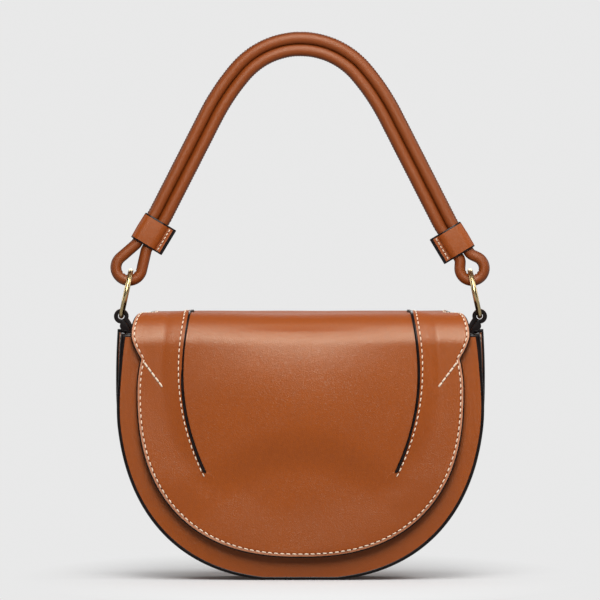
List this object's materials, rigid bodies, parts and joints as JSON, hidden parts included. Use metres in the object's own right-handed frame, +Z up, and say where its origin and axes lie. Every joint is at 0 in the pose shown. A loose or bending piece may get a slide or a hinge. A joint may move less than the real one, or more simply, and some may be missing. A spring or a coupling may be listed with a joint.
{
  "type": "saddle handbag",
  "caption": "Half-moon leather handbag with a darted front flap, magnetic snap, brass rings in side tabs and a doubled cord strap in stitched keepers.",
  "frame": {"origin": "on the ground, under the middle of the bag's width and of its depth between the panels", "axes": "+Z up, X along the bag's width, -Y towards the front flap"},
  "size_m": [0.2372, 0.0787, 0.341],
  "materials": {
    "tan_leather": "smooth fine-grained leather with a soft gloss, black painted edges and cream stitching",
    "tab_leather": "leather with glossy black painted edges",
    "lining": "fine woven twill",
    "board": "matt pressed fibre board",
    "rope": "twisted cotton rope",
    "brass": "polished pale brass",
    "steel": "plated steel"
  },
  "bodies": {
    "bag": {"front_panel": "tan_leather", "back_panel": "tan_leather", "gusset": "tan_leather", "front_board": "board", "back_board": "board", "front_lining": "lining", "back_lining": "lining", "gusset_lining": "lining", "front_facing": "tan_leather", "back_facing": "tan_leather", "slip_pocket": "lining", "snap_socket": "brass", "snap_magnet": "steel", "snap_socket_washer": "steel", "tab_left": "tab_leather", "tab_right": "tab_leather", "flap_anchor": "tan_leather"},
    "flap_roof": {"flap_roof": "tan_leather", "flap_roof_lining": "lining"},
    "flap_front": {"flap_front": "tan_leather", "flap_front_lining": "lining", "snap_stud": "brass", "snap_stud_washer": "steel"},
    "ring_left": {"ring_left": "brass"},
    "ring_right": {"ring_right": "brass"},
    "strap": {"strap_cover": "tan_leather", "strap_core": "rope", "keeper_left": "tan_leather", "keeper_right": "tan_leather"}
  },
  "joints": [
    {"name": "flap_roof_lift", "type": "hinge", "parent": "bag", "child": "flap_roof", "pos_m": [0, 0.0366, 0.156], "axis": [-1, 0, 0], "range_deg": [0, 22]},
    {"name": "flap_front_lift", "type": "hinge", "parent": "flap_roof", "child": "flap_front", "pos_m": [0, -0.0206, 0.1682], "axis": [-1, 0, 0], "range_deg": [0, 100]},
    {"name": "strap_swing", "type": "hinge", "parent": "bag", "child": "strap", "pos_m": [0, 0, 0.17778], "axis": [1, 0, 0], "range_deg": [-90, 90]},
    {"name": "ring_left_turn", "type": "hinge", "parent": "bag", "child": "ring_left", "pos_m": [-0.10901, 0, 0.17778], "axis": [0.9781, 0, -0.2079], "continuous": true},
    {"name": "ring_right_turn", "type": "hinge", "parent": "bag", "child": "ring_right", "pos_m": [0.10901, 0, 0.17778], "axis": [0.9781, 0, 0.2079], "continuous": true}
  ],
  "couplings": [
    {"joint": "flap_roof_lift", "follows": "flap_front_lift", "ratio": 0.22}
  ]
}
